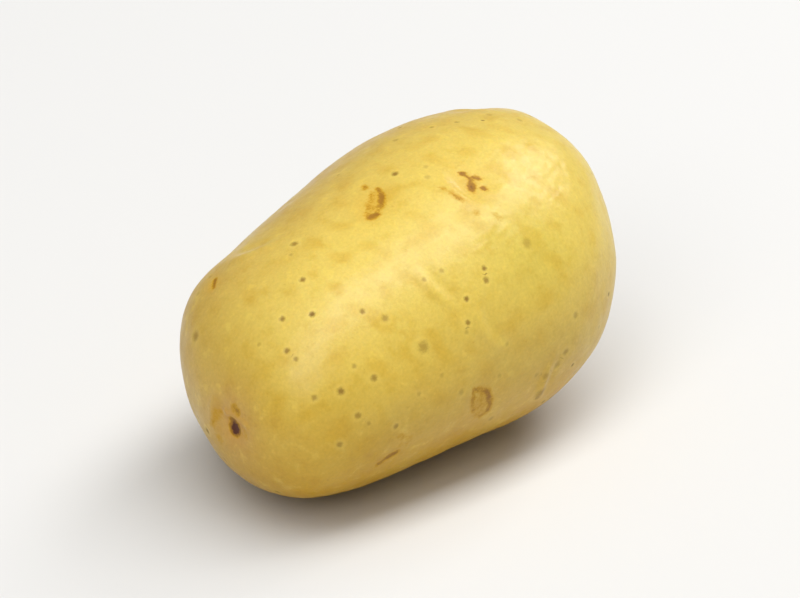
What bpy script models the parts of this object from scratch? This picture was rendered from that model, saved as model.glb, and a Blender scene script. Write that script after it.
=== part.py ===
"""A washed table potato, one solid tuber that lies on its side.

The form is a blunt egg with its long axis on X: the stem end, where the tuber hung from
its plant, is at -X, and the rose end, where most of the eyes crowd, is at +X. A slight
waist, a lean of the two ends and a few broad lumps and hollows make it irregular. It rests
on a small flat spot on its underside, and the centre of that spot is the origin.

Every length is in metres and every angle in degrees.
"""

import math

import bmesh
import bpy
import numpy as np
from mathutils import Euler, Vector

# Overall sizes, measured on the finished tuber as it lies, before the flat spot is cut.
LENGTH = 0.0890
WIDTH = 0.0578
HEIGHT = 0.0532

# Ends: 2 would make the outline an ellipse, and a larger number squares it off.
BLUNTNESS = 2.2

# The waist is a shallow ring nearer the stem end. Places along the tuber are counted from
# -1 at the stem end to +1 at the rose end.
WAIST_DEPTH = 0.0028
WAIST_PLACE = -0.35
WAIST_SPREAD = 0.52

# The middle line arches a little upwards at both ends, and leans one way at the rose end
# and the other way at the stem end.
ARCH = 0.0006
LEAN_SIDEWAYS = 0.0042
LEAN_UPWARDS = 0.0030

# Broad lumps (height above 0) and hollows (height below 0). Each has its place along the
# tuber, its place around it counted from +Y over +Z, its angular spread and its height.
LUMPS = {
    "stem shoulder": (-0.72, 45.0, 24.0, 0.0020),
    "saddle behind the shoulder": (-0.40, 50.0, 22.0, -0.0006),
    "front belly": (0.60, 225.0, 30.0, 0.0014),
    "front flank": (-0.50, 225.0, 26.0, -0.0007),
    "rose end cheek": (0.95, 225.0, 30.0, -0.0011),
    "back flank": (0.10, 330.0, 34.0, -0.0008),
    "back shoulder": (0.62, 340.0, 30.0, 0.0007),
    "underside hollow": (-0.55, 285.0, 26.0, -0.0006),
}

# How the tuber lies: turned about Y and X until its weight is over the flat spot.
LIE_PITCH = -7.3
LIE_ROLL = -5.0

# The flat spot is the underside levelled by this much.
REST_DEPTH = 0.0004

# Mesh quality: cuts across each face of the starting cube, then smoothing levels.
CAGE_CUTS = 5
SMOOTH_LEVELS = 2

SKIN_COLOUR = (0.74, 0.55, 0.12, 1.0)
SKIN_ROUGHNESS = 0.42


def clear_scene():
    """Remove whatever the file holds."""
    for thing in list(bpy.data.objects):
        bpy.data.objects.remove(thing, do_unlink=True)


def new_collection(name):
    collection = bpy.data.collections.new(name)
    bpy.context.scene.collection.children.link(collection)
    return collection


def skin_material():
    material = bpy.data.materials.new("potato_skin")
    material.use_nodes = True
    shader = material.node_tree.nodes["Principled BSDF"]
    shader.inputs["Base Color"].default_value = SKIN_COLOUR
    shader.inputs["Roughness"].default_value = SKIN_ROUGHNESS
    shader.inputs["Metallic"].default_value = 0.0
    return material


def tuber_direction(along, around):
    """Unit direction for a place along the tuber and an angle around it."""
    ring = math.sqrt(1.0 - along * along)
    turn = math.radians(around)
    return Vector((along, ring * math.cos(turn), ring * math.sin(turn)))


def lump_height(direction):
    """Sum of the lumps and hollows felt in this direction, each a round bell."""
    height = 0.0
    for along, around, spread, top in LUMPS.values():
        away = math.degrees(direction.angle(tuber_direction(along, around)))
        height += top * math.exp(-((away / spread) ** 2))
    return height


def tuber_point(direction):
    """Surface point in a direction: blunt egg, waist, arch and lean, then the lumps."""
    ring = math.hypot(direction.y, direction.z)
    squared = (abs(direction.x) ** BLUNTNESS + ring**BLUNTNESS) ** (1.0 / BLUNTNESS)
    egg = direction / squared
    place = egg.x
    waist = WAIST_DEPTH * math.exp(-(((place - WAIST_PLACE) / WAIST_SPREAD) ** 2))
    point = Vector(
        (
            egg.x * LENGTH / 2,
            egg.y * (WIDTH / 2 - waist) + LEAN_SIDEWAYS * place**3,
            egg.z * (HEIGHT / 2 - waist) + LEAN_UPWARDS * place**3 + ARCH * place**2,
        )
    )
    outward = Vector((direction.x / LENGTH, direction.y / WIDTH, direction.z / HEIGHT))
    return point + outward.normalized() * lump_height(direction)


def shape_cage(mesh):
    """Turn a cube, cut into an even grid, into the tuber's coarse cage as it lies."""
    cage = bmesh.new()
    bmesh.ops.create_cube(cage, size=2.0)
    bmesh.ops.subdivide_edges(cage, edges=cage.edges[:], cuts=CAGE_CUTS, use_grid_fill=True)
    lie = Euler((math.radians(LIE_ROLL), math.radians(LIE_PITCH), 0.0)).to_matrix()
    for vert in cage.verts:
        even = Vector([math.tan(math.pi / 4 * value) for value in vert.co])
        vert.co = lie @ tuber_point(even.normalized())
    cage.to_mesh(mesh)
    cage.free()


def smoothed(tuber):
    """Corners of the smoothed tuber as the viewport shows it, as an array."""
    evaluated = tuber.evaluated_get(bpy.context.evaluated_depsgraph_get())
    mesh = evaluated.to_mesh()
    corners = np.empty(len(mesh.vertices) * 3, np.float32)
    mesh.vertices.foreach_get("co", corners)
    evaluated.to_mesh_clear()
    return corners.reshape(-1, 3).astype(float)


def fit_to_size(tuber):
    """Scale the cage so that the smoothed tuber measures LENGTH by WIDTH by HEIGHT."""
    corners = smoothed(tuber)
    measured = corners.max(axis=0) - corners.min(axis=0)
    stretch = np.array([LENGTH, WIDTH, HEIGHT]) / measured
    for vert in tuber.data.vertices:
        vert.co = Vector(np.array(vert.co) * stretch)
    tuber.data.update()


def spot_centre(tuber):
    """Centre of the outline that a level cut, REST_DEPTH above the lowest point, makes."""
    evaluated = tuber.evaluated_get(bpy.context.evaluated_depsgraph_get())
    copy = bmesh.new()
    copy.from_mesh(evaluated.to_mesh())
    evaluated.to_mesh_clear()
    level = min(vert.co.z for vert in copy.verts) + REST_DEPTH
    cut = bmesh.ops.bisect_plane(
        copy,
        geom=copy.verts[:] + copy.edges[:] + copy.faces[:],
        plane_co=(0.0, 0.0, level),
        plane_no=(0.0, 0.0, 1.0),
    )
    rim = [item for item in cut["geom_cut"] if isinstance(item, bmesh.types.BMEdge)]
    lengths = [edge.calc_length() for edge in rim]
    middles = [(edge.verts[0].co + edge.verts[1].co) / 2 for edge in rim]
    centre = sum((middle * size for middle, size in zip(middles, lengths)), Vector())
    centre /= sum(lengths)
    copy.free()
    return Vector((centre.x, centre.y, level))


def stand_on_spot(tuber):
    """Move the cage so that the flat spot's centre is the origin."""
    centre = spot_centre(tuber)
    for vert in tuber.data.vertices:
        vert.co -= centre
    tuber.data.update()


def make_tuber(collection):
    mesh = bpy.data.meshes.new("potato")
    shape_cage(mesh)
    tuber = bpy.data.objects.new("potato", mesh)
    collection.objects.link(tuber)
    soften = tuber.modifiers.new("soft form", "SUBSURF")
    soften.levels = SMOOTH_LEVELS
    soften.render_levels = SMOOTH_LEVELS
    fit_to_size(tuber)
    stand_on_spot(tuber)
    mesh.shade_smooth()
    mesh.materials.append(skin_material())
    return tuber


def make_ground_cutter(collection):
    """A block whose top is the level of the flat spot."""
    mesh = bpy.data.meshes.new("ground_cutter")
    block = bmesh.new()
    bmesh.ops.create_cube(block, size=LENGTH)
    bmesh.ops.translate(block, verts=block.verts[:], vec=(0.0, 0.0, -LENGTH / 2))
    block.to_mesh(mesh)
    block.free()
    cutter = bpy.data.objects.new("ground_cutter", mesh)
    collection.objects.link(cutter)
    cutter.hide_render = True
    cutter.display_type = "WIRE"
    return cutter


def level_underside(tuber, cutter):
    level = tuber.modifiers.new("rest spot", "BOOLEAN")
    level.operation = "DIFFERENCE"
    level.object = cutter


def main():
    clear_scene()
    tuber = make_tuber(new_collection("potato"))
    level_underside(tuber, make_ground_cutter(new_collection("cutters")))


main()
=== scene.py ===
# %% [markdown]
# # A washed potato, from a plain solid to a living skin
#
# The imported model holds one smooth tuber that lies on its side. This lesson gives it the
# skin of a potato that has been washed for the shop: thin, yellow and faintly waxy, dented
# by eyes, scarred where the stem was, and peppered with breathing pores. The same few ideas
# repeat: a shape is a formula on a grid, a detail is a small height added to that formula,
# and a colour is a rule that follows the same places as the detail.

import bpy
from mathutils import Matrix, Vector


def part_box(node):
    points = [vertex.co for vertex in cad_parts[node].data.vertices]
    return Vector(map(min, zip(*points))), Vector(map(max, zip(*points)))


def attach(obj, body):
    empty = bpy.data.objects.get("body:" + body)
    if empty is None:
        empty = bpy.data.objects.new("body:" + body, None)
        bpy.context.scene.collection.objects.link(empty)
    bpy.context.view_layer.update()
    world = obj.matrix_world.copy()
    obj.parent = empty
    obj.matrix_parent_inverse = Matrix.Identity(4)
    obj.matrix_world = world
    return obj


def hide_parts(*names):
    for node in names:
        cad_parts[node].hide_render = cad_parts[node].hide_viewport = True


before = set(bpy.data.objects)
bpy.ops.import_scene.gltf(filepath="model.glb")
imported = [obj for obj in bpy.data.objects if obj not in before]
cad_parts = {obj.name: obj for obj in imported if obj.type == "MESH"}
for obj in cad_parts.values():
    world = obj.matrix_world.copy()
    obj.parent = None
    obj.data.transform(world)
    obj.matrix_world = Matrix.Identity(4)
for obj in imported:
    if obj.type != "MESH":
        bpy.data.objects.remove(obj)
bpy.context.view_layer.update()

# %% Tools and units
import math

import bpy
import numpy as np
from mathutils import Quaternion, Vector

MM = 0.001

# %% [markdown]
# ## The tuber's own size
#
# A potato has no straight edge to measure from, so everything hangs on its box. The solid
# gives that box, and the flat spot it rests on is the only plane it has: the round
# underside is levelled there by a fraction of a millimetre.

# %% Read the size from the solid
REST_DEPTH = 0.4 * MM
tuber_low, tuber_high = (np.array(corner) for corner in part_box("potato"))
tuber_low = tuber_low - np.array([0.0, 0.0, REST_DEPTH])
LENGTH, WIDTH, HEIGHT = tuber_high - tuber_low
print(f"tuber {LENGTH / MM:.1f} x {WIDTH / MM:.1f} x {HEIGHT / MM:.1f} mm before levelling")

# %% [markdown]
# ## A grid of directions
#
# The skin is one closed sheet. It could be a sphere primitive pushed about by hand, but a
# grid of directions is easier to reason with: rows run from the stem end at -X to the rose
# end at +X, columns run round the tuber from +Y over +Z, and each end closes in one point.
# Every later rule is a function of the direction, worked out for the whole grid at once.

# %% Lay out the directions
ROWS = 248
COLUMNS = 400
ROW_CROWDING = 0.12


def directions(rows, columns):
    """Unit directions: the stem pole, then rows of a ring each, then the rose pole.

    A ring at angle p from the stem end is (-cos p, sin p cos r, sin p sin r), with r the
    turn about the length. The angles are p = t + ROW_CROWDING sin 2t for even steps of t,
    which keeps the rows as far apart in the long middle as at the round ends.
    """
    step = np.linspace(0.0, np.pi, rows + 2)[1:-1]
    polar = step + ROW_CROWDING * np.sin(2.0 * step)
    around = np.linspace(0.0, 2.0 * np.pi, columns, endpoint=False)
    polar, around = np.meshgrid(polar, around, indexing="ij")
    rings = np.stack(
        [-np.cos(polar), np.sin(polar) * np.cos(around), np.sin(polar) * np.sin(around)],
        axis=-1,
    )
    return np.concatenate([[[-1.0, 0.0, 0.0]], rings.reshape(-1, 3), [[1.0, 0.0, 0.0]]])


ways = directions(ROWS, COLUMNS)
print(f"{len(ways)} points on the skin")

# %% [markdown]
# ## The form of the tuber
#
# A tuber is a swollen stem. It starts as a blunt egg, keeps a slight waist nearer the stem
# end, and its two ends lean opposite ways. Broad lumps and hollows, each a soft bell on the
# sphere of directions, make it one particular potato. These are the same numbers as the
# solid's own design, so the skin lies within a millimetre of the solid everywhere.

# %% Name the form's numbers
BLUNTNESS = 2.2
WAIST_DEPTH = 2.8 * MM
WAIST_PLACE = -0.35
WAIST_SPREAD = 0.52
ARCH = 0.6 * MM
LEAN_SIDEWAYS = 4.2 * MM
LEAN_UPWARDS = 3.0 * MM
LIE_PITCH = math.radians(-7.3)
LIE_ROLL = math.radians(-5.0)

# Each lump: place along the tuber from -1 to +1, degrees around it from +Y over +Z, spread
# in degrees, and height in metres, below 0 for a hollow.
LUMPS = {
    "stem shoulder": (-0.72, 45.0, 24.0, 2.0 * MM),
    "saddle behind the shoulder": (-0.40, 50.0, 22.0, -0.6 * MM),
    "front belly": (0.60, 225.0, 30.0, 1.4 * MM),
    "front flank": (-0.50, 225.0, 26.0, -0.7 * MM),
    "rose end cheek": (0.95, 225.0, 30.0, -1.1 * MM),
    "back flank": (0.10, 330.0, 34.0, -0.8 * MM),
    "back shoulder": (0.62, 340.0, 30.0, 0.7 * MM),
    "underside hollow": (-0.55, 285.0, 26.0, -0.6 * MM),
}
print(f"{len(LUMPS)} lumps and hollows")


# %% Work out the form
def toward(along, around):
    """Unit direction at a place along the tuber and an angle around it in degrees."""
    turn = np.radians(around)
    ring = np.sqrt(1.0 - np.square(along))
    return np.stack([along + 0.0 * turn, ring * np.cos(turn), ring * np.sin(turn)], axis=-1)


def bell(distance, spread):
    """1 at the middle, falling to 1/e at the spread and then to nothing."""
    return np.exp(-np.square(distance / spread))


def outward(way):
    """The way out of the skin: the direction divided by the sizes, made a unit again."""
    out = way / np.array([LENGTH, WIDTH, HEIGHT])
    return out / np.linalg.norm(out, axis=-1, keepdims=True)


def lumps(way):
    """Sum of the bells, each measured by the angle between the direction and its place."""
    height = np.zeros(len(way))
    for along, around, spread, top in LUMPS.values():
        cosine = np.clip(way @ toward(along, around), -1.0, 1.0)
        height += top * bell(np.degrees(np.arccos(cosine)), spread)
    return height


def egg(way):
    """Blunt egg, waist, arch and lean, then the lumps, on the tuber's own axes.

    The direction is divided by its BLUNTNESS norm, which squares the outline off. The ring
    is thinned by the waist, and the middle line is moved by the cube of the place for the
    lean and by its square for the arch.
    """
    ring = np.hypot(way[:, 1], way[:, 2])
    norm = (np.abs(way[:, 0]) ** BLUNTNESS + ring**BLUNTNESS) ** (1.0 / BLUNTNESS)
    blunt = way / norm[:, None]
    place = blunt[:, 0]
    waist = WAIST_DEPTH * bell(place - WAIST_PLACE, WAIST_SPREAD)
    x = place * LENGTH / 2
    y = blunt[:, 1] * (WIDTH / 2 - waist) + LEAN_SIDEWAYS * place**3
    z = blunt[:, 2] * (HEIGHT / 2 - waist) + LEAN_UPWARDS * place**3 + ARCH * place**2
    return np.stack([x, y, z], axis=-1) + outward(way) * lumps(way)[:, None]


def lie_down(points):
    """Turn about X by the roll, then about Y by the pitch, as the tuber lies in balance."""
    cp, sp = math.cos(LIE_PITCH), math.sin(LIE_PITCH)
    cr, sr = math.cos(LIE_ROLL), math.sin(LIE_ROLL)
    pitch = np.array([[cp, 0.0, sp], [0.0, 1.0, 0.0], [-sp, 0.0, cp]])
    roll = np.array([[1.0, 0.0, 0.0], [0.0, cr, -sr], [0.0, sr, cr]])
    return points @ (pitch @ roll).T


laid = lie_down(egg(ways))
FIT_SCALE = (tuber_high - tuber_low) / (laid.max(axis=0) - laid.min(axis=0))
FIT_SHIFT = tuber_low - laid.min(axis=0) * FIT_SCALE


def tuber(way):
    """Points of the smooth tuber in the frame's metres, filling the solid's box."""
    return lie_down(egg(way)) * FIT_SCALE + FIT_SHIFT


smooth_skin = tuber(ways)
out_of_skin = lie_down(outward(ways))
print("fitted to the box by", FIT_SCALE.round(4))

# %% [markdown]
# ## Places on the skin
#
# Eyes and scars are flat little drawings on a round body, so each gets its own small map:
# millimetres forward, toward the rose end, and millimetres to the left as seen from
# outside. The map is the plane that touches the tuber there.

# %% Make a small map at a place
# In radians.
MAP_NUDGE = 0.002


def map_at(along, around):
    """Middle of the map, its forward and left unit steps, and the way out.

    Forward is the difference of two points a little along the tuber, out is square to it
    and to the same difference around the tuber, and left is out crossed with forward.
    """
    polars = math.acos(-along) + MAP_NUDGE * np.array([0, 1, -1, 0, 0])
    turns = math.radians(around) + MAP_NUDGE * np.array([0, 0, 0, 1, -1])
    way = np.stack(
        [-np.cos(polars), np.sin(polars) * np.cos(turns), np.sin(polars) * np.sin(turns)],
        axis=-1,
    )
    middle, ahead, behind, over, under = tuber(way)
    forward = (ahead - behind) / np.linalg.norm(ahead - behind)
    out = np.cross(over - under, forward)
    out /= np.linalg.norm(out)
    return middle, forward, np.cross(out, forward), out


def millimetres_from(middle, forward, left):
    """Forward and left millimetres of every point on the skin, and its distance away."""
    away = (smooth_skin - middle) / MM
    return away @ forward, away @ left, np.linalg.norm(away, axis=1)


def metres_from(along, around):
    """Straight distance in metres of every point on the skin from a place on it."""
    middle, _, _, _ = map_at(along, around)
    return np.linalg.norm(smooth_skin - middle, axis=1)


print("half way along and on top:", (map_at(0.0, 90.0)[0] / MM).round(1), "mm")

# %% [markdown]
# ## Eyes and scars
#
# An eye is a bud in a shallow dent, with a brow on the stem side where a scale leaf sat. In
# a washed potato most of what shows is the brown, corky line left round the bud, so each
# eye is a dent, a brow and a handful of short strokes of cork. Strokes are drawn as forward
# and left millimetres at both ends, then the stroke's half width and its darkness. The dent
# and brow are real height, and the strokes are sunk a little too. The hidden side gets the
# common bud eye, and the rose end several, because eyes crowd there.
# A fold is drawn in the same way, but it is raised and takes no colour.

# %% Draw the strokes of cork
HOOKED_EYE = [
    (3.2, 2.4, 2.5, 1.0, 0.34, 0.68),
    (2.5, 1.0, 1.6, 0.0, 0.46, 0.90),
    (1.6, 0.0, 0.1, -1.1, 0.46, 0.84),
    (0.1, -1.1, -1.8, -1.9, 0.32, 0.62),
    (-1.9, -1.9, -3.1, -1.8, 0.50, 0.88),
    (-3.1, -1.6, -2.9, -1.0, 0.46, 0.70),
    (-2.4, -0.4, -0.3, 1.3, 0.34, 0.52),
    (-0.3, 1.3, 1.9, 2.6, 0.30, 0.50),
    (-1.6, -0.6, 1.6, 1.1, 0.90, 0.42),
    (2.2, 4.5, 2.3, 4.6, 0.42, 0.70),
]
SCRATCHED_EYE = [
    (0.9, 2.8, 1.0, 2.6, 0.40, 1.02),
    (1.0, 2.6, 1.2, 1.1, 0.26, 0.84),
    (1.2, 1.1, 0.4, 0.2, 0.28, 0.86),
    (0.2, 0.0, -0.3, -0.7, 0.48, 1.04),
    (1.2, 1.1, 2.0, 0.8, 0.28, 0.74),
    (2.0, 0.8, 2.3, 0.0, 0.36, 0.86),
    (-0.4, -0.8, -0.8, -1.6, 0.28, 0.56),
    (1.1, -2.0, 1.2, -2.2, 0.40, 0.90),
    (-4.6, 2.8, -4.3, 1.0, 0.22, 0.42),
    (-4.3, 1.0, -4.2, -0.6, 0.26, 0.50),
    (-4.2, -0.6, -4.0, -1.7, 0.32, 0.58),
    (-4.0, -4.7, -4.1, -5.1, 0.40, 0.34),
    (-1.5, -7.6, -1.5, -7.9, 0.50, 0.30),
]
STEM_SCAR = [
    (0.7, 0.0, 0.4, 0.1, 0.60, 1.10),
    (0.4, 0.1, -0.4, 0.2, 0.45, 0.95),
    (-0.4, 0.2, -0.8, 0.3, 0.80, 1.50),
    (2.7, -2.1, 2.3, -2.3, 0.65, 0.62),
    (2.9, 2.4, 2.2, 3.4, 0.60, 0.42),
    (1.6, 4.4, 0.9, 5.6, 0.55, 0.42),
    (-1.5, -1.0, -2.0, -1.8, 0.70, 0.34),
    (-1.7, 5.0, -1.8, 5.6, 0.60, 0.34),
]
FADED_EYE = [
    (-1.7, 3.5, 1.0, 2.2, 0.46, 0.60),
    (1.2, 2.0, 2.2, -0.8, 0.52, 0.74),
    (2.3, -1.1, 2.2, -3.4, 0.46, 0.66),
    (2.1, -3.8, 0.5, -3.9, 0.40, 0.52),
    (-1.9, 2.6, -1.9, 1.0, 0.38, 0.54),
    (-1.9, 1.0, -1.2, -1.7, 0.40, 0.56),
    (-1.2, -1.7, 0.3, -3.6, 0.34, 0.44),
    (0.0, 1.6, 0.4, -2.0, 1.20, 0.42),
]
NICK = [
    (-1.5, -0.6, 0.0, 0.0, 0.42, 0.74),
    (0.0, 0.0, 1.4, 0.5, 0.46, 0.90),
]
SCAB = [
    (-0.9, 1.1, -0.2, 0.4, 0.50, 0.42),
    (0.3, -0.2, 1.2, -0.6, 0.45, 0.36),
    (-0.3, -1.2, 0.4, -1.7, 0.50, 0.34),
]
BUD_EYE = [
    (-1.5, 2.7, -2.2, 1.1, 0.24, 0.46),
    (-2.2, 1.1, -2.3, -0.9, 0.30, 0.66),
    (-2.3, -0.9, -1.6, -2.6, 0.22, 0.46),
    (0.1, 0.3, 0.7, -0.2, 0.42, 0.92),
    (0.8, 1.3, 1.0, 1.6, 0.32, 0.66),
    (0.9, -1.5, 0.9, -1.8, 0.28, 0.60),
    (-0.7, 0.8, -0.8, -0.6, 0.24, 0.42),
]
print(f"{len(HOOKED_EYE)} strokes in the hooked eye, {len(BUD_EYE)} in a bud eye")

# %% Place the eyes
# Each: place along, degrees around, strokes, their size, dent depth in millimetres, dent
# reach in millimetres, and brow height in millimetres.
STEM_PLACE = (-0.992, 69.1)
EYES = {
    "hooked eye": (-0.135, 99.7, HOOKED_EYE, 1.0, 0.32, 4.2, 0.05),
    "scratched eye": (0.185, 117.4, SCRATCHED_EYE, 1.0, 0.38, 4.6, 0.20),
    "stem scar": (*STEM_PLACE, STEM_SCAR, 1.0, 0.95, 3.6, 0.0),
    "faded eye": (-0.203, 197.3, FADED_EYE, 1.0, 0.25, 4.4, 0.04),
    "nick on the belly": (-0.606, 206.6, NICK, 1.1, 0.22, 2.4, 0.0),
    "scab by the nick": (-0.550, 196.6, SCAB, 1.0, 0.05, 2.2, 0.0),
    "nick by the shoulder": (-0.66, 59.0, NICK, 0.7, 0.12, 2.0, 0.0),
    "back eye low": (-0.36, 332, BUD_EYE, 1.0, 0.95, 4.2, 0.38),
    "back eye high": (0.16, 20, BUD_EYE, 1.1, 1.05, 4.6, 0.42),
    "underside eye": (0.22, 306, BUD_EYE, 0.9, 0.75, 4.0, 0.30),
    "rose eye 1": (0.70, 74, BUD_EYE, 0.9, 0.90, 4.0, 0.36),
    "rose eye 2": (0.80, 352, BUD_EYE, 0.85, 0.95, 3.8, 0.36),
    "rose eye 3": (0.86, 238, BUD_EYE, 0.8, 0.80, 3.6, 0.32),
    "rose eye 4": (0.94, 130, BUD_EYE, 0.8, 0.70, 3.4, 0.28),
    "crown bud": (0.985, 20, BUD_EYE, 0.75, 0.70, 3.4, 0.26),
}
print(f"{len(EYES)} eyes and scars")

# %% Place the folds
# Small folds stand up round the stem scar and in the waist. Each: place along, degrees
# around, height in millimetres, and its straight runs as forward and left millimetres.
FOLDS = [
    (*STEM_PLACE, 0.34, [(2.5, 0.7, 1.1, -1.7), (1.1, -1.7, -0.6, -3.4)]),
    (0.07, 140.0, 0.08, [(-4.0, 0.3, -1.3, 0.4), (1.9, 0.5, 4.2, 1.1)]),
    (0.07, 140.0, 0.07, [(-2.6, -1.2, -0.6, -1.4), (0.4, 1.8, 2.0, 2.3)]),
    (0.07, 140.0, 0.06, [(2.4, -0.9, 3.9, -0.6), (-1.0, 2.2, -2.4, 2.0)]),
    (0.20, 128.0, 0.06, [(-2.2, -1.6, 0.4, -0.8), (1.2, 0.6, 3.4, 1.4)]),
]
FOLD_WIDTH = 0.55
FOLD_MAP_EDGE = 9.0
print(f"{sum(len(runs) for *_, runs in FOLDS)} runs of fold")

# %% Draw a stroke and a brow
# All in millimetres on the eye's map, but STROKE_REACH counts half widths.
STROKE_REACH = 2.2
BROW_PLACE = -4.2
BROW_BEND = 0.05
BROW_SPREAD = 0.9
BROW_SPAN = 4.0
GROOVE_SHARE = 0.7


def from_stroke(forward, left, stroke):
    """Distance in millimetres from each point to a straight stroke's nearest point."""
    f0, l0, f1, l1 = stroke
    run, rise = f1 - f0, l1 - l0
    share = ((forward - f0) * run + (left - l0) * rise) / (run * run + rise * rise)
    share = np.clip(share, 0.0, 1.0)
    return np.hypot(forward - f0 - share * run, left - l0 - share * rise)


def draw_cork(forward, left, strokes, size):
    """Darkest stroke felt at each point: its darkness times one minus (distance / reach)
    squared, where the reach is STROKE_REACH half widths. Past the reach there is none."""
    darkest = np.zeros(len(forward))
    for *ends, half_width, darkness in strokes:
        distance = from_stroke(forward, left, [value * size for value in ends])
        reach = STROKE_REACH * half_width * size
        inside = np.clip(1.0 - np.square(distance / reach), 0.0, 1.0)
        darkest = np.maximum(darkest, darkness * inside)
    return darkest


def brow(forward, left):
    """A ridge on the stem side: a bell across the line forward = BROW_PLACE + BROW_BEND
    left squared, with a groove two spreads nearer the bud, fading out sideways."""
    off_line = forward - BROW_PLACE - BROW_BEND * np.square(left)
    groove = GROOVE_SHARE * bell(off_line - 2.0 * BROW_SPREAD, BROW_SPREAD)
    return (bell(off_line, BROW_SPREAD) - groove) * bell(left, BROW_SPAN)


crest_and_groove = np.array([BROW_PLACE, BROW_PLACE + 2.0 * BROW_SPREAD])
print("brow at its crest and groove:", brow(crest_and_groove, np.zeros(2)).round(2))


# %% Raise and colour the eyes
STROKE_SINK = 0.07 * MM
EYE_MAP_EDGE = 3
GLOW_REACH = 0.9

eye_height = np.zeros(len(ways))
cork = np.zeros(len(ways))
eye_glow = np.zeros(len(ways))
for along, around, strokes, size, dent, reach, brow_height in EYES.values():
    middle, forward_step, left_step, _ = map_at(along, around)
    forward, left, away = millimetres_from(middle, forward_step, left_step)
    eye_height += (brow_height * brow(forward, left) - dent * bell(away, reach)) * MM
    strokes_here = draw_cork(forward, left, strokes, size) * (away < EYE_MAP_EDGE * reach)
    cork = np.maximum(cork, strokes_here)
    eye_glow = np.maximum(eye_glow, bell(away, reach * GLOW_REACH))
eye_height -= STROKE_SINK * cork

for along, around, fold_height, runs in FOLDS:
    middle, forward_step, left_step, _ = map_at(along, around)
    forward, left, away = millimetres_from(middle, forward_step, left_step)
    nearest = np.min([from_stroke(forward, left, run) for run in runs], axis=0)
    eye_height += fold_height * MM * bell(nearest, FOLD_WIDTH) * (away < FOLD_MAP_EDGE)
print(f"deepest dent {-eye_height.min() / MM:.2f} mm, {np.mean(cork > 0):.1%} of skin corky")

# %% [markdown]
# ## Breathing pores
#
# Lenticels are the tuber's pores: olive or brown specks half a millimetre to a millimetre
# wide, often in a paler ring where the skin has stretched. The ones on the front are listed
# one by one, because the eye soon knows a constellation. The rest are scattered by a seeded
# rule with a gap between them. Each point of the skin remembers the way back to its nearest
# pore, measured in that pore's radii, so the skin's colour can draw a round speck that
# stays crisp between the mesh's corners. A pore is also a shallow pit with a low rim.

# %% Set the pores
# On the front: place along, degrees around, radius in millimetres, darkness.
FRONT_PORES = [
    (-0.65, 117, 0.50, 1.00), (-0.72, 106, 0.48, 0.80), (-0.57, 103, 0.50, 0.85),
    (-0.45, 87, 0.62, 0.75), (-0.50, 90, 0.36, 0.35), (-0.52, 132, 0.46, 0.75),
    (-0.47, 140, 0.60, 0.55), (-0.03, 146, 0.46, 0.85), (-0.05, 150, 0.52, 0.75),
    (-0.16, 152, 0.44, 0.90), (-0.20, 160, 0.44, 0.75), (-0.22, 163, 0.36, 0.35),
    (0.03, 95, 0.56, 0.90), (-0.79, 118, 0.48, 0.80), (-0.79, 125, 0.40, 0.60),
    (-0.66, 148, 0.42, 0.45), (-0.62, 158, 0.55, 0.70), (-0.74, 154, 0.58, 0.85),
    (-0.82, 148, 0.46, 0.60), (-0.72, 170, 0.52, 0.65), (-0.69, 177, 0.36, 0.40),
    (-0.80, 182, 0.52, 0.60), (-0.40, 159, 0.95, 0.55), (-0.59, 186, 0.50, 0.60),
    (-0.26, 137, 0.40, 0.50), (-0.18, 138, 0.40, 0.45), (0.22, 195, 0.60, 0.50),
    (0.28, 182, 0.60, 0.45), (0.19, 147, 0.85, 0.36), (0.12, 210, 1.20, 0.60),
    (-0.82, 101, 0.36, 0.35), (-0.37, 174, 0.40, 0.30), (-0.07, 176, 0.38, 0.30),
    (-0.82, 52, 0.80, 0.55), (0.09, 105, 0.48, 0.35), (0.13, 101, 0.40, 0.30),
    (0.18, 199, 0.70, 0.40), (0.12, 201, 0.65, 0.36), (0.07, 198, 0.50, 0.30),
    (-0.12, 188, 0.42, 0.30), (-0.30, 186, 0.55, 0.30), (-0.48, 176, 0.40, 0.32),
]
print(f"{len(FRONT_PORES)} pores set by hand")

# %% Scatter pores on the hidden side
# The hidden side is where the way out of the skin has less than FRONT_SHARE of FRONT_WAY.
FRONT_WAY = np.array([-0.65, -0.60, 0.46])
FRONT_SHARE = 0.30
SCATTERED_PORES = 190
TRIES_PER_PORE = 4
PORE_GAP = 3.4 * MM
RADIUS_RANGE = (0.30, 0.58)
FAINTEST_PORE = 0.25
DARKNESS_RANGE = 0.65


def scatter(count, gap, seed):
    """Random directions, kept in turn if they face away from the front and no kept pore is
    nearer than the gap. Returns their points, radii in metres and darkness, which is the
    faintest plus its range times a random share squared, so that most pores are faint."""
    rng = np.random.default_rng(seed)
    tries = rng.normal(size=(count * TRIES_PER_PORE, 3))
    tries /= np.linalg.norm(tries, axis=1, keepdims=True)
    points = tuber(tries)
    facing = lie_down(outward(tries)) @ FRONT_WAY
    kept = []
    for number in np.flatnonzero((facing < FRONT_SHARE) & (points[:, 2] > REST_DEPTH)):
        near = np.linalg.norm(points[kept] - points[number], axis=1) if kept else [gap]
        if len(kept) < count and min(near) >= gap:
            kept.append(number)
    radii = rng.uniform(*RADIUS_RANGE, len(kept)) * MM
    darkness = FAINTEST_PORE + DARKNESS_RANGE * np.square(rng.random(len(kept)))
    return points[kept], radii, darkness


front = np.array(FRONT_PORES)
back_points, back_radii, back_darkness = scatter(SCATTERED_PORES, PORE_GAP, seed=7)
pore_points = np.concatenate([tuber(toward(front[:, 0], front[:, 1])), back_points])
pore_radii = np.concatenate([front[:, 2] * MM, back_radii])
pore_darkness = np.concatenate([front[:, 3], back_darkness])
print(f"{len(back_points)} pores scattered, {len(pore_points)} in all")

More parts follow.
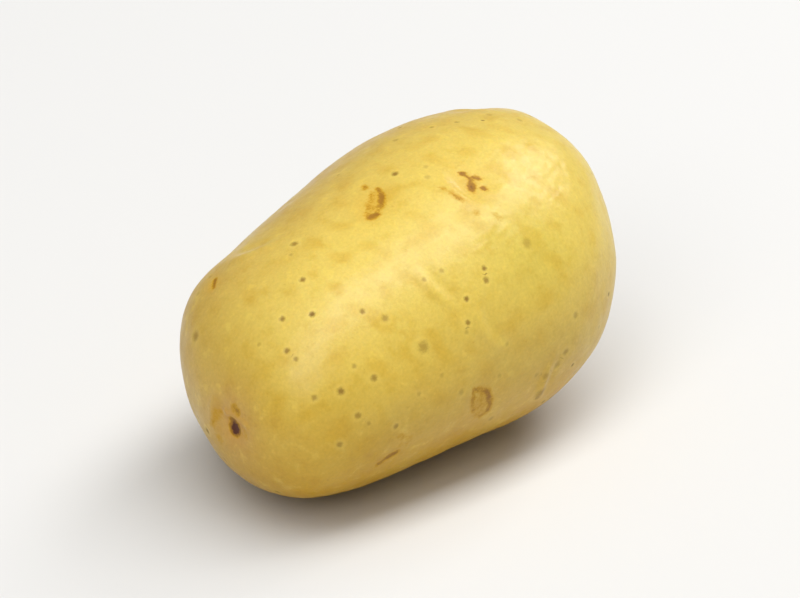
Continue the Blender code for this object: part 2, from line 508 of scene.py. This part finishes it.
# %% Let each point of the skin find its nearest pore
pore_away = np.full(len(ways), np.inf)
pore_offset = np.zeros((len(ways), 3))
pore_dark = np.zeros(len(ways))
for point, radius, darkness in zip(pore_points, pore_radii, pore_darkness):
    offset = (smooth_skin - point) / radius
    away = np.linalg.norm(offset, axis=1)
    nearer = away < pore_away
    pore_away = np.where(nearer, away, pore_away)
    pore_offset[nearer] = offset[nearer]
    pore_dark[nearer] = darkness
print(f"{np.mean(pore_away < 1.0):.1%} of the skin's points are inside a pore")

# %% Sink each pore inside a low rim
# Heights in metres, and places and spreads in pore radii.
PORE_SINK, PIT_SPREAD = 0.06 * MM, 0.9
PORE_RIM, RIM_PLACE, RIM_SPREAD = 0.035 * MM, 1.7, 0.8
pore_height = PORE_RIM * bell(pore_away - RIM_PLACE, RIM_SPREAD)
pore_height -= PORE_SINK * bell(pore_away, PIT_SPREAD)
pore_height *= pore_dark
print(f"pores from {pore_height.min() / MM:.3f} to {pore_height.max() / MM:.3f} mm")

# %% [markdown]
# ## Small unevenness
#
# No skin is as smooth as its formula. A sum of sine waves that cross space in random
# directions gives a gentle, endless unevenness, and it needs no grid or table. Three sizes
# are enough all over: slow swells, thumb marks and a fine orange peel. Two places get more.
# The stem shoulder has a knob, too small for the broad lumps, and the skin wrinkles finely
# near the rose end, where it is thin, so its sheen breaks up there.

# %% Add waves of three sizes
# Each: height in millimetres, wavelength in millimetres, and the seed of its directions.
UNEVENNESS = {
    "slow swells": (0.110, 24.0, 1),
    "thumb marks": (0.035, 9.0, 2),
    "orange peel": (0.007, 2.6, 3),
}


def waves(points, wavelength, seed, count=18):
    """Sum of sine waves of random heading and phase, near the wavelength, scaled so that
    its values are about as often above as below zero with a spread of one."""
    rng = np.random.default_rng(seed)
    heading = rng.normal(size=(count, 3))
    heading /= np.linalg.norm(heading, axis=1, keepdims=True)
    turns = heading * (2.0 * np.pi / wavelength) * rng.uniform(0.7, 1.5, (count, 1))
    phase = rng.uniform(0.0, 2.0 * np.pi, count)
    return np.sin(points @ turns.T + phase).sum(axis=1) * math.sqrt(2.0 / count)


uneven = np.zeros(len(ways))
for height, wavelength, seed in UNEVENNESS.values():
    uneven += height * MM * waves(smooth_skin, wavelength * MM, seed)
print(f"unevenness from {uneven.min() / MM:.2f} to {uneven.max() / MM:.2f} mm")

# %% Add the knob and the wrinkles
KNOB_HEIGHT, KNOB_REACH = 0.95 * MM, 7.0 * MM
knob = KNOB_HEIGHT * bell(metres_from(-0.64, 42), KNOB_REACH)
WRINKLE_HEIGHT, WRINKLE_REACH, WRINKLE_LENGTH = 0.036 * MM, 9.0 * MM, 2.0 * MM
wrinkles = WRINKLE_HEIGHT * waves(smooth_skin, WRINKLE_LENGTH, seed=4)
wrinkles *= bell(metres_from(0.50, 127), WRINKLE_REACH)

relief = uneven + knob + wrinkles + eye_height + pore_height
skin = smooth_skin + out_of_skin * relief[:, None]
# The flat spot: what would reach below the floor is levelled.
skin[:, 2] = np.maximum(skin[:, 2], 0.0)
print(f"relief from {relief.min() / MM:.2f} to {relief.max() / MM:.2f} mm")

# %% [markdown]
# ## Make the mesh
#
# Four corners of neighbouring rows and columns make a face, and the last column meets the
# first. A fan of triangles closes each end. Corners are listed so that faces look outwards.

# %% Join the grid into one closed skin
def grid_faces(rows, columns):
    """Quads between neighbouring rings, then the fans at the stem and rose ends."""
    number = np.arange(rows * columns).reshape(rows, columns) + 1
    beside = np.roll(number, -1, axis=1)
    quads = np.stack([number[:-1], beside[:-1], beside[1:], number[1:]], axis=-1)
    rose = rows * columns + 1
    stem_fan = np.stack([np.zeros_like(number[0]), beside[0], number[0]], axis=-1)
    rose_fan = np.stack([np.full_like(number[0], rose), number[-1], beside[-1]], axis=-1)
    return quads.reshape(-1, 4).tolist() + stem_fan.tolist() + rose_fan.tolist()


mesh = bpy.data.meshes.new("potato_skin")
mesh.from_pydata(skin.tolist(), [], grid_faces(ROWS, COLUMNS))
mesh.shade_smooth()
potato = bpy.data.objects.new("potato_skin", mesh)
bpy.context.scene.collection.objects.link(potato)
triangles = sum(len(face.vertices) - 2 for face in mesh.polygons)
print(f"{len(mesh.polygons)} faces, {triangles} triangles")

# %% [markdown]
# ## The skin's colours and painted shade
#
# Yellow is not one colour on a potato. It is butter where the skin is tight and pale, gold
# low on the flanks, painted there as the shade under the tuber, a little tan and pink over
# the back and the ends where the cork is thicker, the tan on the back partly painted shade
# too, green where light has touched it, and orange round an eye. These broad colours
# change slowly, so they are worked out at the mesh's corners and carried as an attribute.
# Two more wave sums, a slow swell and a smaller patch, keep every border uneven.

# %% Name the colours
BUTTER = np.array([0.712, 0.538, 0.106])
# GOLD_AND_SHADE is skin tone in the gold patches, and painted shade low on the flanks.
GOLD_AND_SHADE = np.array([0.560, 0.318, 0.000])
# TAN_AND_SHADE is skin tone at the ends, and partly painted shade over the back.
TAN_AND_SHADE = np.array([0.540, 0.345, 0.070])
ORANGE = np.array([0.660, 0.400, 0.040])
GREENISH = np.array([0.460, 0.400, 0.020])
PINK = np.array([0.520, 0.250, 0.060])


def blend_in(colours, colour, share):
    """Mix one colour into every corner's colour by its own share."""
    share = np.clip(share, 0.0, 1.0)[:, None]
    return colours * (1.0 - share) + colour * share


def ramp(values, start, end):
    """0 at start and before it, 1 at end and past it, and an even slope between them. The
    start may be the larger of the two, and the ramp then falls."""
    return np.clip((values - start) / (end - start), 0.0, 1.0)


print("half butter, half gold:", blend_in(BUTTER[None], GOLD_AND_SHADE, np.array([0.5])).round(3))


# %% Let two sizes of patch vary the shares
SWELL_LENGTH, PATCH_LENGTH = 18 * MM, 7 * MM
swell = 0.5 + 0.25 * waves(smooth_skin, SWELL_LENGTH, seed=11)
patch = 0.5 + 0.25 * waves(smooth_skin, PATCH_LENGTH, seed=12)
print(f"swell from {swell.min():.2f} to {swell.max():.2f}")

# %% Colour the flanks, the back and the ends, with painted shade low and at the back
# Gold comes in from one share of the height down to a lower one, as painted shade that
# darkens the underside. Tan comes in as the skin turns to the back, partly skin tone and
# partly painted shade, eases off where it faces straight back, and is also at both ends.
LOW_SHADE_FROM, LOW_SHADE_FULL = 0.75, 0.17
BACK_FROM, BACK_FULL = -0.25, 0.60
PALE_BACK_FROM, PALE_BACK_SHARE = 0.55, 0.55
END_FROM, END_SHARE = 0.86, 0.55
GOLD_PATCH_FROM, GOLD_PATCH_FULL, GOLD_PATCH_SHARE = 0.55, 0.95, 0.30

height_share = (smooth_skin[:, 2] - tuber_low[2]) / HEIGHT
facing_back = out_of_skin[:, 1]
# Painted shade: the skin turns deeper gold toward the bottom, where shade falls.
painted_shade_low = ramp(height_share, LOW_SHADE_FROM, LOW_SHADE_FULL)
gold_patches = GOLD_PATCH_SHARE * ramp(patch, GOLD_PATCH_FROM, GOLD_PATCH_FULL)
# Partly painted shade: the side turned to the back is tanned darker, partly as skin tone.
back_tan_and_shade = ramp(facing_back, BACK_FROM, BACK_FULL)
back_tan_and_shade *= 1.0 - PALE_BACK_SHARE * ramp(facing_back, PALE_BACK_FROM, 1.0)
ends = ramp(np.abs(ways[:, 0]), END_FROM, 1.0)

tint = np.tile(BUTTER, (len(ways), 1))
# Paint shade low on the flanks.
tint = blend_in(tint, GOLD_AND_SHADE, painted_shade_low * (0.80 + 0.35 * swell))
tint = blend_in(tint, GOLD_AND_SHADE, gold_patches)
# Tan over the back: partly skin tone, partly painted shade.
tint = blend_in(tint, TAN_AND_SHADE, back_tan_and_shade * (0.60 + 0.35 * swell))
tint = blend_in(tint, TAN_AND_SHADE, END_SHARE * ends * swell)
print(f"gold share {painted_shade_low.mean():.2f} and tan share {back_tan_and_shade.mean():.2f} on average")

# %% Colour the places round the eyes, the stem and the green patch
ORANGE_SHARE = 0.75
PINK_SHARE, PINK_REACH = 0.75, 5.5 * MM
GREEN_SHARE, GREEN_REACH = 0.22, 9 * MM
tint = blend_in(tint, ORANGE, ORANGE_SHARE * eye_glow * (0.5 + 0.5 * patch))
round_stem = bell(metres_from(*STEM_PLACE), PINK_REACH)
tint = blend_in(tint, PINK, PINK_SHARE * round_stem * (0.4 + 0.6 * swell))
tint = blend_in(tint, GREENISH, GREEN_SHARE * bell(metres_from(0.19, 147), GREEN_REACH))
print("mean colour", tint.mean(axis=0).round(3))


# %% Carry the colours and places on the mesh
def carry(name, kind, key, values):
    """Store one value for each corner of the mesh under a name the material can read."""
    attribute = mesh.attributes.new(name, kind, "POINT")
    attribute.data.foreach_set(key, np.ascontiguousarray(values, np.float32).ravel())


carry("tint", "FLOAT_COLOR", "color", np.hstack([tint, np.ones((len(tint), 1))]))
carry("cork", "FLOAT", "value", cork)
FARTHEST = 9.0
carry("pore_offset", "FLOAT_VECTOR", "vector", np.clip(pore_offset, -FARTHEST, FARTHEST))
carry("pore_away", "FLOAT", "value", np.minimum(pore_away, FARTHEST))
carry("pore_dark", "FLOAT", "value", pore_dark)
print("carried:", ["tint", "cork", "pore_offset", "pore_away", "pore_dark"])

# %% [markdown]
# ## The skin material
#
# One Principled shader does it all: light goes a little way into the flesh, a thin wax
# gives a soft gloss, and the fine grain is noise on the piece's own coordinates. It could
# be painted as a picture and wrapped round, but then it would blur close up and need a
# seam. A small helper makes a node and joins its inputs, so the recipe reads in order.

# %% Start the skin material
skin_material = bpy.data.materials.new("potato_skin")
skin_material.use_nodes = True
skin_tree = skin_material.node_tree
shader = skin_tree.nodes["Principled BSDF"]


def node(kind, inputs=None, tree=skin_tree, **settings):
    """A new node with its settings, and with numbers or links put into its inputs."""
    made = tree.nodes.new(kind)
    for name, value in settings.items():
        setattr(made, name, value)
    for name, value in (inputs or {}).items():
        if isinstance(value, bpy.types.NodeSocket):
            tree.links.new(value, made.inputs[name])
        else:
            made.inputs[name].default_value = value
    return made


def maths(operation, first, second=0.0, third=0.0):
    """One sum on numbers or links."""
    made = node("ShaderNodeMath", {0: first, 1: second, 2: third}, operation=operation)
    return made.outputs[0]


def times(first, second):
    """The product of two numbers or links."""
    return maths("MULTIPLY", first, second)


def between(value, start, end, low=0.0, high=1.0):
    """A smooth step of a value from low at start to high at end."""
    made = node(
        "ShaderNodeMapRange",
        {"Value": value, "From Min": start, "From Max": end, "To Min": low, "To Max": high},
        interpolation_type="SMOOTHSTEP",
    )
    return made.outputs["Result"]


def mix(share, first, second, blend="MIX"):
    """Mix the second colour into the first by a share, plainly or by another blend."""
    made = node("ShaderNodeMix", {0: share, 6: first, 7: second}, data_type="RGBA")
    made.blend_type = blend
    return made.outputs[2]


def noise(size, detail=2.0, roughness=0.5):
    """Noise whose blobs are about this many millimetres wide, on the piece's coordinates."""
    inputs = {"Scale": 1.0 / (size * MM), "Detail": detail, "Roughness": roughness}
    return node("ShaderNodeTexNoise", {"Vector": coordinates, **inputs}).outputs["Fac"]


def carried(name, output):
    """The named attribute of the mesh, by the output that suits its kind."""
    return node("ShaderNodeAttribute", attribute_name=name).outputs[output]


coordinates = node("ShaderNodeTexCoord").outputs["Object"]
print(f"the skin material starts with {len(skin_tree.nodes)} nodes")

# %% Mottle the broad colour
# Two of these deepen the colour that they multiply, and the pale one covers it. Each has
# its colour, its share, and the noise values between which it comes in.
DEEPER, DEEPER_SHARE, DEEPER_RANGE = (0.84, 0.74, 0.35, 1.0), 0.42, (0.48, 0.74)
PALER, PALER_SHARE, PALER_RANGE = (0.82, 0.62, 0.11, 1.0), 0.30, (0.46, 0.28)
FLECK, FLECK_SHARE, FLECK_RANGE = (0.78, 0.64, 0.35, 1.0), 0.52, (0.62, 0.80)

mottle = noise(2.6, detail=4.0, roughness=0.62)
grain = noise(0.55, detail=3.0, roughness=0.6)
flecks = noise(1.2, detail=3.0, roughness=0.7)
colour = carried("tint", "Color")
colour = mix(times(between(mottle, *DEEPER_RANGE), DEEPER_SHARE), colour, DEEPER, "MULTIPLY")
colour = mix(times(between(mottle, *PALER_RANGE), PALER_SHARE), colour, PALER)
colour = mix(times(between(flecks, *FLECK_RANGE), FLECK_SHARE), colour, FLECK, "MULTIPLY")
colour = mix(1.0, colour, between(grain, 0.30, 0.72, 0.95, 1.04), "MULTIPLY")
print(f"{len(skin_tree.nodes)} nodes with the mottling")

# %% Measure from the nearest pore
# Halfway between two pores the arrows turn about, and their mean is short for the width of
# one face. The plain distance stays long there, so the longer of the two is right. It is
# coarse close to a pore, so PORE_TRUST radii are taken off it first.
PORE_TRUST = 1.2
RAGGED_RANGE = (0.2, 0.8)
PORE_RAGGEDNESS = 0.22
arrow = {0: carried("pore_offset", "Vector")}
pore_distance = node("ShaderNodeVectorMath", arrow, operation="LENGTH").outputs["Value"]
ragged = noise(0.35, detail=2.0)
plain_distance = maths("SUBTRACT", carried("pore_away", "Fac"), PORE_TRUST)
pore_distance = maths("MAXIMUM", pore_distance, plain_distance)
pore_edge = between(ragged, *RAGGED_RANGE, -PORE_RAGGEDNESS, PORE_RAGGEDNESS)
pore_distance = maths("ADD", pore_distance, pore_edge)

# %% Draw the pores
# A halo and a speck, each with its share and the radii between which it comes in.
PORE_HALO, HALO_SHARE, HALO_RANGE = (0.800, 0.610, 0.130, 1.0), 0.30, (2.9, 1.5)
PORE_OLIVE, SPECK_SHARE, SPECK_RANGE = (0.200, 0.095, 0.000, 1.0), 0.92, (1.60, 0.30)
pore_strength = carried("pore_dark", "Fac")
halo = times(between(pore_distance, *HALO_RANGE), times(pore_strength, HALO_SHARE))
colour = mix(halo, colour, PORE_HALO)
speck = times(between(pore_distance, *SPECK_RANGE), pore_strength)
colour = mix(times(speck, SPECK_SHARE), colour, PORE_OLIVE)
print(f"{len(skin_tree.nodes)} nodes with the pores")

# %% Draw the cork of the eyes
# Thin cork is orange, thick cork brown, and the thickest nearly black. Each has its share
# and the stroke darkness between which it comes in, once noise has broken the edges.
CORK_ORANGE, ORANGE_CORK_SHARE, ORANGE_RANGE = (0.540, 0.290, 0.000, 1.0), 0.88, (0.06, 0.60)
CORK_BROWN, BROWN_CORK_SHARE, BROWN_RANGE = (0.310, 0.135, 0.000, 1.0), 0.92, (0.42, 0.82)
CORK_DARK, DARK_RANGE = (0.080, 0.014, 0.000, 1.0), (0.90, 1.25)
CORK_RAGGEDNESS = 0.06
CORK_BREAKS, BREAK_RANGE = 0.14, (0.3, 0.7)

broken = noise(0.9, detail=3.0, roughness=0.65)
cork_edge = between(ragged, *RAGGED_RANGE, -CORK_RAGGEDNESS, CORK_RAGGEDNESS)
corky = maths("ADD", carried("cork", "Fac"), cork_edge)
corky = maths("ADD", corky, between(broken, *BREAK_RANGE, -CORK_BREAKS, CORK_BREAKS))
light_cork = between(corky, *ORANGE_RANGE)
colour = mix(times(light_cork, ORANGE_CORK_SHARE), colour, CORK_ORANGE)
colour = mix(times(between(corky, *BROWN_RANGE), BROWN_CORK_SHARE), colour, CORK_BROWN)
colour = mix(between(corky, *DARK_RANGE), colour, CORK_DARK)
skin_tree.links.new(colour, shader.inputs["Base Color"])
print(f"{len(skin_tree.nodes)} nodes with the cork")

# %% Give it gloss and depth
WAXY, DRY = 0.31, 0.42
CORK_DULLNESS = 0.22
dull = maths("MAXIMUM", light_cork, speck)
gloss = between(noise(3.2, detail=3.0, roughness=0.6), 0.30, 0.70, WAXY, DRY)
roughness = maths("ADD", gloss, times(dull, CORK_DULLNESS))
skin_tree.links.new(roughness, shader.inputs["Roughness"])
shader.inputs["IOR"].default_value = 1.45
shader.inputs["Subsurface Weight"].default_value = 0.20
shader.inputs["Subsurface Radius"].default_value = (1.0, 0.55, 0.15)
shader.inputs["Subsurface Scale"].default_value = 2.2 * MM
print(f"roughness from {WAXY} to {DRY + CORK_DULLNESS:.2f}")

# %% Give it a fine surface
# Height is a mean of the grain and the flecks, lower where the skin is corky.
GRAIN_SHARE, FLECK_HEIGHT_SHARE, CORK_DIP = 0.45, 0.55, 0.30
fine = maths("MULTIPLY_ADD", grain, GRAIN_SHARE, times(flecks, FLECK_HEIGHT_SHARE))
fine = maths("SUBTRACT", fine, times(dull, CORK_DIP))
bump = node("ShaderNodeBump", {"Height": fine, "Strength": 0.42, "Distance": 0.12 * MM})
skin_tree.links.new(bump.outputs["Normal"], shader.inputs["Normal"])
mesh.materials.append(skin_material)
print(f"skin material of {len(skin_tree.nodes)} nodes")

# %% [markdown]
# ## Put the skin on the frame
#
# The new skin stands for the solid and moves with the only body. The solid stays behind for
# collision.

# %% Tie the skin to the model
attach(potato, "root")
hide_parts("potato")
print(f"{potato.name} rides on the root body and stands for the solid")

# %% [markdown]
# ## Floor, light and camera
#
# The potato lies on a plain pale floor. A floor's far rim would draw a line across the
# picture, so this one turns clear before its rim and melts into the surround, which the
# camera sees bright while it fills the shadows only softly. A wide soft light hangs
# overhead and draws the long sheen on top. A small one behind the rose end gives the bright
# patch there, and a weak one in front keeps the stem end from going dull.

# %% Lay the floor
FLOOR_RADIUS = 1.3
FLOOR_CORNERS = 96
FLOOR_GREY = (0.70, 0.70, 0.70, 1.0)
floor_turn = np.linspace(0.0, 2.0 * np.pi, FLOOR_CORNERS, endpoint=False)
floor_rim = np.stack([np.cos(floor_turn), np.sin(floor_turn), 0.0 * floor_turn], axis=-1)
floor_mesh = bpy.data.meshes.new("floor")
floor_mesh.from_pydata((floor_rim * FLOOR_RADIUS).tolist(), [], [tuple(range(FLOOR_CORNERS))])
floor = bpy.data.objects.new("floor", floor_mesh)
bpy.context.scene.collection.objects.link(floor)
floor_material = bpy.data.materials.new("pale_floor")
floor_material.use_nodes = True
floor_tree = floor_material.node_tree
floor_shader = floor_tree.nodes["Principled BSDF"]
floor_shader.inputs["Base Color"].default_value = FLOOR_GREY
floor_shader.inputs["Roughness"].default_value = 1.0
floor_shader.inputs["Specular IOR Level"].default_value = 0.0
floor_mesh.materials.append(floor_material)
print(f"floor {2 * FLOOR_RADIUS} m across")

# %% Let the floor turn clear before its rim
FADE_START, FADE_END = 0.35, 0.95 * FLOOR_RADIUS
floor_place = node("ShaderNodeTexCoord", tree=floor_tree).outputs["Object"]
from_middle = node("ShaderNodeVectorMath", {0: floor_place}, floor_tree, operation="LENGTH")
fade = node(
    "ShaderNodeMapRange",
    {"Value": from_middle.outputs["Value"], "From Min": FADE_START, "From Max": FADE_END},
    floor_tree,
    interpolation_type="SMOOTHSTEP",
)
clear = node("ShaderNodeBsdfTransparent", tree=floor_tree)
melt = node(
    "ShaderNodeMixShader",
    {0: fade.outputs["Result"], 1: floor_shader.outputs["BSDF"], 2: clear.outputs["BSDF"]},
    floor_tree,
)
floor_output = floor_tree.nodes["Material Output"]
floor_tree.links.new(melt.outputs["Shader"], floor_output.inputs["Surface"])
print(f"the floor fades from {FADE_START} to {FADE_END:.2f} m")

# %% Hang the lights
middle_of_tuber = Vector((tuber_low + tuber_high) / 2)


def soft_light(name, way, distance, width, depth, watts, colour=(1.0, 1.0, 1.0), spin=0.0):
    """A rectangular area light of this width and depth at a distance from the tuber's
    middle, all in metres. It faces the tuber along the way given, and is turned about that
    line by the spin in degrees."""
    data = bpy.data.lights.new(name, "AREA")
    data.shape = "RECTANGLE"
    data.size, data.size_y = width, depth
    data.energy = watts
    data.color = colour
    light = bpy.data.objects.new(name, data)
    out = Vector(way).normalized()
    light.location = middle_of_tuber + out * distance
    turned = out.to_track_quat("Z", "Y") @ Quaternion((0.0, 0.0, 1.0), math.radians(spin))
    light.rotation_euler = turned.to_euler()
    bpy.context.scene.collection.objects.link(light)
    return light


WARM_WHITE = (1.0, 0.985, 0.95)
soft_light(
    "overhead", (0.05, -0.20, 0.98), 2.00, 3.20, 0.88, watts=46.6, colour=WARM_WHITE, spin=-18.0
)
soft_light("behind_rose_end", (0.78, 0.00, 0.62), 0.90, 0.34, 0.34, watts=2.0)
soft_light("front_left", (-0.72, -0.28, 0.62), 1.50, 0.70, 0.70, watts=5.6)
print(f"{len(bpy.data.lights)} lights")

# %% Surround it with a bright backdrop and a soft fill
FILL_STRENGTH = 0.25
BACKDROP_STRENGTH = 0.95
world = bpy.data.worlds.new("pale_surround")
world.use_nodes = True
surround = world.node_tree.nodes["Background"]
surround.inputs["Color"].default_value = (1.0, 1.0, 1.0, 1.0)
seen = node("ShaderNodeLightPath", tree=world.node_tree).outputs["Is Camera Ray"]
strengths = {"Value": seen, "To Min": FILL_STRENGTH, "To Max": BACKDROP_STRENGTH}
backdrop = node("ShaderNodeMapRange", strengths, world.node_tree)
world.node_tree.links.new(backdrop.outputs["Result"], surround.inputs["Strength"])
bpy.context.scene.world = world
bpy.context.scene.view_settings.view_transform = "Standard"
print(f"surround {BACKDROP_STRENGTH} to the camera and {FILL_STRENGTH} as light")

# %% Stand the camera
CAMERA_AZIMUTH = math.radians(-47.0)
CAMERA_ELEVATION = math.radians(27.5)
CAMERA_DISTANCE = 0.90
FRAME_WIDTH = 0.138

camera_data = bpy.data.cameras.new("camera")
camera_data.lens = camera_data.sensor_width * CAMERA_DISTANCE / FRAME_WIDTH
camera = bpy.data.objects.new("camera", camera_data)
level = math.cos(CAMERA_ELEVATION)
back_x, back_y = math.sin(CAMERA_AZIMUTH) * level, -math.cos(CAMERA_AZIMUTH) * level
back = Vector((back_x, back_y, math.sin(CAMERA_ELEVATION)))
camera.location = middle_of_tuber + back * CAMERA_DISTANCE
camera.rotation_euler = back.to_track_quat("Z", "Y").to_euler()
bpy.context.scene.collection.objects.link(camera)
bpy.context.scene.camera = camera
print(f"lens {camera_data.lens:.0f} mm at {CAMERA_DISTANCE} m")
